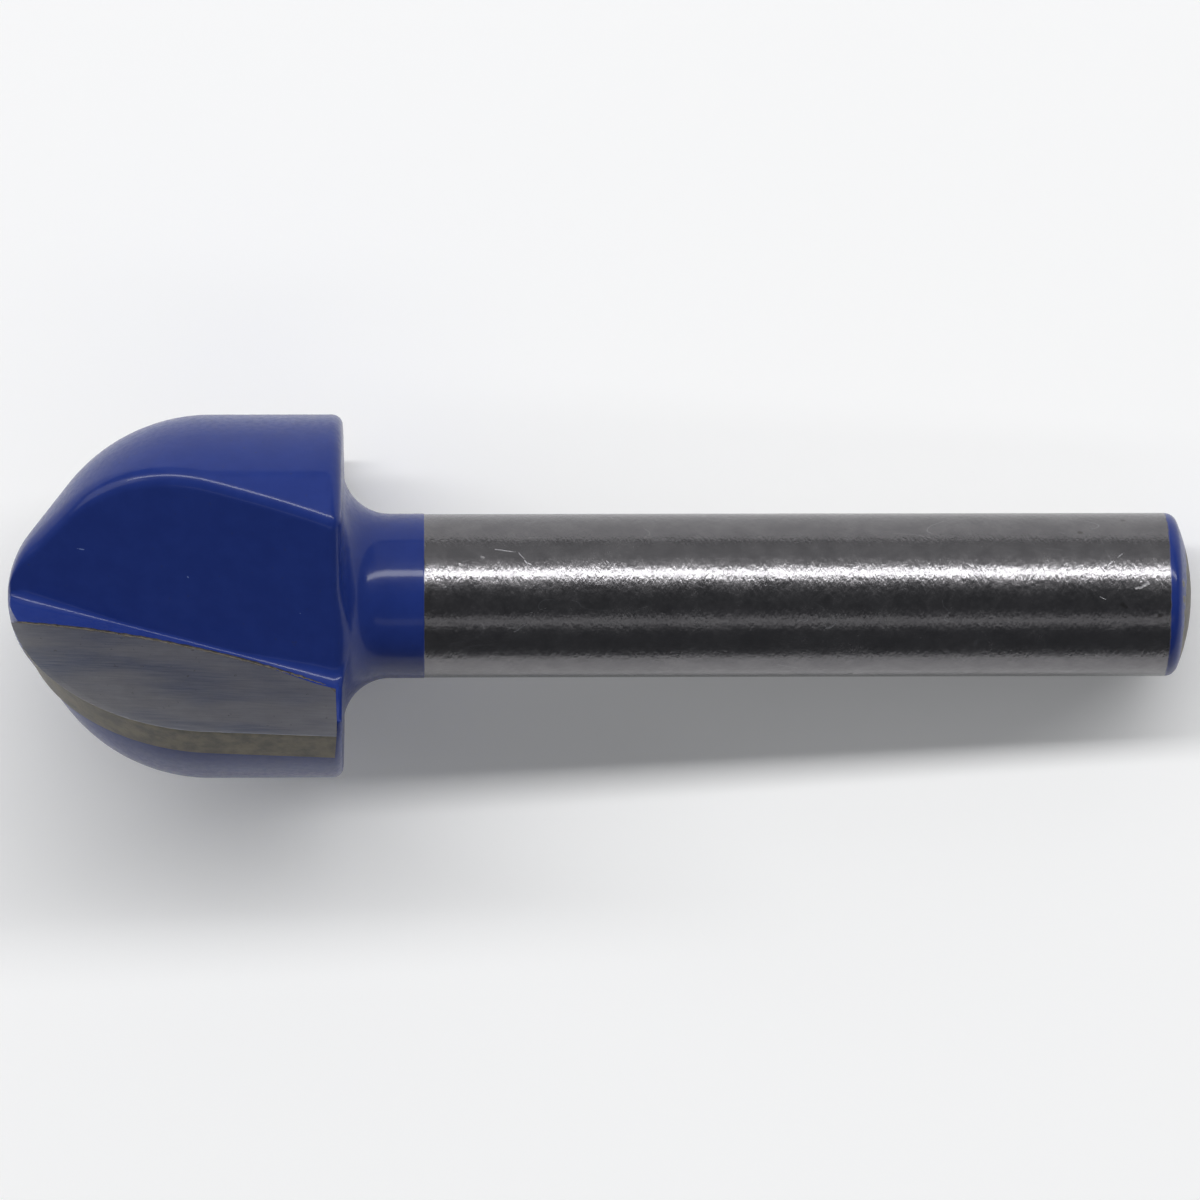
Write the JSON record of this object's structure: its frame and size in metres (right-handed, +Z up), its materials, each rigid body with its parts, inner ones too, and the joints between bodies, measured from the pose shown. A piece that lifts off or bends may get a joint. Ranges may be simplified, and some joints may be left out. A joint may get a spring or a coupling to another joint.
{
  "type": "core box router bit",
  "caption": "Round-nose router bit for milling half-round grooves: brazed carbide cutters on an enamelled steel head with a ground straight shank.",
  "frame": {"origin": "centre of the footprint, on the ground the bit lies on", "axes": "+X towards the free end of the shank, seen from above; +Z up; the bit lies as it comes to rest, on one cutting edge, on the heel of the other land and on the end of the shank"},
  "size_m": [0.0458, 0.014, 0.0132],
  "materials": {
    "enamelled_steel": "dark blue baked enamel on the head and neck, worn bare ground steel on the shank",
    "carbide": "fine ground grey tungsten carbide with small chips along the edge",
    "silver_solder": "dull tan silver solder"
  },
  "bodies": {
    "root": {"steel_body": "enamelled_steel", "carbide_tip_a": "carbide", "carbide_tip_b": "carbide", "braze_joint_a": "silver_solder", "braze_joint_b": "silver_solder"}
  },
  "joints": []
}
